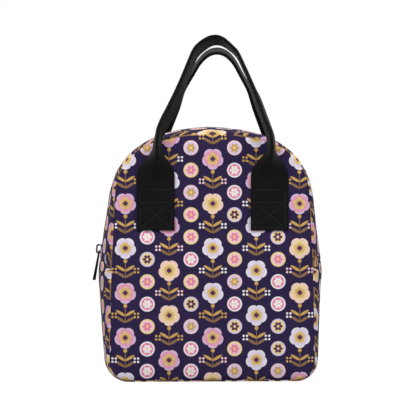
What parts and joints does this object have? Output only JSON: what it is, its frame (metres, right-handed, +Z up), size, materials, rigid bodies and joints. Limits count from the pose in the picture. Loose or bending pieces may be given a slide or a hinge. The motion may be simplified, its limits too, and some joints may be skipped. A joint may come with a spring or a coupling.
{
  "type": "insulated lunch tote",
  "caption": "Soft insulated lunch tote with arched printed panels, a bulging zipped gusset whose front folds open, and two folded webbing carry handles.",
  "frame": {"origin": "middle of the base, on the surface that the tote stands on", "axes": "+X to the right seen from the front, +Y from the front panel to the back panel, +Z up"},
  "size_m": [0.2353, 0.1776, 0.3514],
  "materials": {
    "printed_cloth": "printed woven polyester canvas",
    "foam": "closed-cell insulating foam",
    "foil_lining": "silver coated film, creased",
    "binding": "woven binding tape",
    "webbing": "black ribbed webbing",
    "zip_tape": "black herringbone zip tape",
    "zip_teeth": "black moulded teeth",
    "zip_metal": "black painted die casting"
  },
  "bodies": {
    "bag_body": {"back_panel_cloth": "printed_cloth", "back_panel_foam": "foam", "back_panel_lining": "foil_lining", "front_lower_cloth": "printed_cloth", "front_lower_foam": "foam", "front_lower_lining": "foil_lining", "lower_gusset_cloth": "printed_cloth", "lower_gusset_foam": "foam", "lower_gusset_lining": "foil_lining", "rear_band_cloth": "printed_cloth", "rear_band_foam": "foam", "rear_band_lining": "foil_lining", "rear_zip_tape": "zip_tape", "rear_zip_teeth": "zip_teeth", "zip_end_stops": "zip_metal", "front_lower_binding": "binding", "back_binding": "binding", "back_handle_ends": "webbing"},
    "front_flap": {"front_upper_cloth": "printed_cloth", "front_upper_foam": "foam", "front_upper_lining": "foil_lining", "front_band_cloth": "printed_cloth", "front_band_foam": "foam", "front_band_lining": "foil_lining", "front_zip_tape": "zip_tape", "front_zip_teeth": "zip_teeth", "front_upper_binding": "binding", "front_handle_ends": "webbing"},
    "front_handle": {"front_handle_loop": "webbing"},
    "back_handle": {"back_handle_loop": "webbing"},
    "zip_slider": {"zip_slider": "zip_metal"},
    "zip_pull": {"zip_pull": "zip_metal"}
  },
  "joints": [
    {"name": "front_fold", "type": "hinge", "parent": "bag_body", "child": "front_flap", "pos_m": [0, -0.068, 0.125], "axis": [1, 0, 0], "range_deg": [0, 60]},
    {"name": "front_handle_swing", "type": "hinge", "parent": "front_flap", "child": "front_handle", "pos_m": [0, -0.07, 0.19705], "axis": [1, 0, 0], "range_deg": [0, 140]},
    {"name": "back_handle_swing", "type": "hinge", "parent": "bag_body", "child": "back_handle", "pos_m": [0, 0.07, 0.19705], "axis": [-1, 0, 0], "range_deg": [0, 140]},
    {"name": "zip_slider_run", "type": "slide", "parent": "bag_body", "child": "zip_slider", "axis": [0.0819, 0, 0.9966], "range_m": [0, 0.045]},
    {"name": "zip_pull_swing", "type": "hinge", "parent": "zip_slider", "child": "zip_pull", "pos_m": [-0.1158, 0, 0.13146], "axis": [0, 1, 0], "range_deg": [0, 100]}
  ]
}
